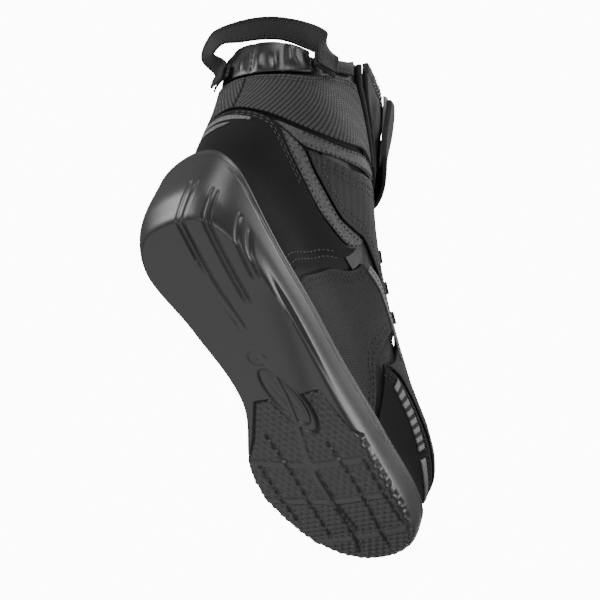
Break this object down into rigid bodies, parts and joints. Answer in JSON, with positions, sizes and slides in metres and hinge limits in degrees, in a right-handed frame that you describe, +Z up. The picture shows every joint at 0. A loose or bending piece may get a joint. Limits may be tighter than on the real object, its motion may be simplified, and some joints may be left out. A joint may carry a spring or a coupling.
{
  "type": "motorcycle riding boot",
  "caption": "Ankle-high riding boot for a right foot: rubber cup sole, fabric upper, shin flap with strap, dial lacing and a heel pull loop.",
  "frame": {"origin": "middle of the boot at ground level", "axes": "+Z up, +X towards the toe, +Y towards the inner side of the foot"},
  "size_m": [0.3156, 0.0974, 0.2181],
  "materials": {
    "sole_rubber": "satin moulded rubber",
    "foam": "matt foam",
    "steel": "satin",
    "board": "matt fibre board",
    "lining": "brushed knit",
    "mesh_cloth": "coarse woven mesh",
    "suede": "short matt nap",
    "overlay": "coated woven fabric",
    "leather": "smooth grain, satin",
    "reflector": "grainy reflective film",
    "tpu_grey": "smooth moulded",
    "tpu_black": "moulded, satin",
    "binding": "rolled edge tape",
    "strap": "coated strap with stitched border",
    "webbing": "woven webbing with bound edges"
  },
  "bodies": {
    "boot": {"achilles_pad": "leather", "ankle_protector_lateral": "tpu_black", "ankle_protector_medial": "tpu_black", "bootie_lining": "lining", "collar_binding_lateral": "binding", "collar_binding_medial": "binding", "collar_foam_lateral": "foam", "collar_foam_medial": "foam", "collar_mesh_lateral": "mesh_cloth", "collar_mesh_medial": "mesh_cloth", "collar_rim_lateral": "leather", "collar_rim_medial": "leather", "dial_base": "tpu_black", "eyestay_stripe_lateral": "tpu_grey", "eyestay_stripe_medial": "tpu_grey", "footbed": "foam", "forefoot_tread": "sole_rubber", "heel_counter_panel": "suede", "heel_mark_lower": "reflector", "heel_mark_upper": "reflector", "heel_stiffener": "board", "insole_board": "board", "instep_overlay_lateral": "overlay", "instep_overlay_medial": "overlay", "lace_cable": "steel", "lace_guide_lateral_1": "tpu_black", "lace_guide_lateral_2": "tpu_black", "lace_guide_lateral_3": "tpu_black", "lace_guide_medial_1": "tpu_black", "lace_guide_medial_2": "tpu_black", "lace_guide_medial_3": "tpu_black", "loop_tab_lateral": "webbing", "loop_tab_medial": "webbing", "midsole": "foam", "outsole": "sole_rubber", "quarter_mesh_lateral": "mesh_cloth", "quarter_mesh_medial": "mesh_cloth", "reflector_lower_arm_lateral": "reflector", "reflector_lower_arm_medial": "reflector", "reflector_upper_arm_lateral": "reflector", "reflector_upper_arm_medial": "reflector", "shank": "steel", "sole_badge": "sole_rubber", "toe_bar_strip_lateral": "reflector", "toe_bar_strip_medial": "reflector", "toe_cap": "suede", "toe_puff": "board", "toe_side_panel_lateral": "suede", "toe_side_panel_medial": "suede", "toe_strip_lateral": "tpu_grey", "toe_strip_medial": "tpu_grey", "tongue": "mesh_cloth", "vamp": "mesh_cloth"},
    "shin_flap": {"shin_flap": "overlay", "shin_plate": "tpu_grey", "strap_anchor": "overlay"},
    "ankle_strap": {"ankle_strap": "strap"},
    "dial_spool": {"dial_spool": "tpu_black"},
    "dial_knob": {"dial_knob": "tpu_black"},
    "pull_loop": {"pull_loop": "webbing"}
  },
  "joints": [
    {"name": "shin_flap_tilt", "type": "hinge", "parent": "boot", "child": "shin_flap", "pos_m": [-0.00546, -0.0034, 0.1625], "axis": [0, 1, 0], "range_deg": [0, 35], "stiffness_Nm_per_rad": 0.25},
    {"name": "strap_peel", "type": "hinge", "parent": "shin_flap", "child": "ankle_strap", "pos_m": [-0.04162, 0.03428, 0.1761], "axis": [-0.4066, -0.0096, 0.9135], "range_deg": [0, 95]},
    {"name": "dial_turn", "type": "hinge", "parent": "boot", "child": "dial_spool", "pos_m": [0.01185, -0.0027, 0.1427], "axis": [0.6946, 0.0274, 0.7189], "continuous": true},
    {"name": "dial_lift", "type": "slide", "parent": "dial_spool", "child": "dial_knob", "axis": [0.6946, 0.0274, 0.7189], "range_m": [0, 0.002]},
    {"name": "pull_loop_swing", "type": "hinge", "parent": "boot", "child": "pull_loop", "pos_m": [-0.11873, -0.04176, 0.16394], "axis": [-0.2862, 0.8893, -0.3566], "range_deg": [-11, 1], "stiffness_Nm_per_rad": 0.08}
  ]
}
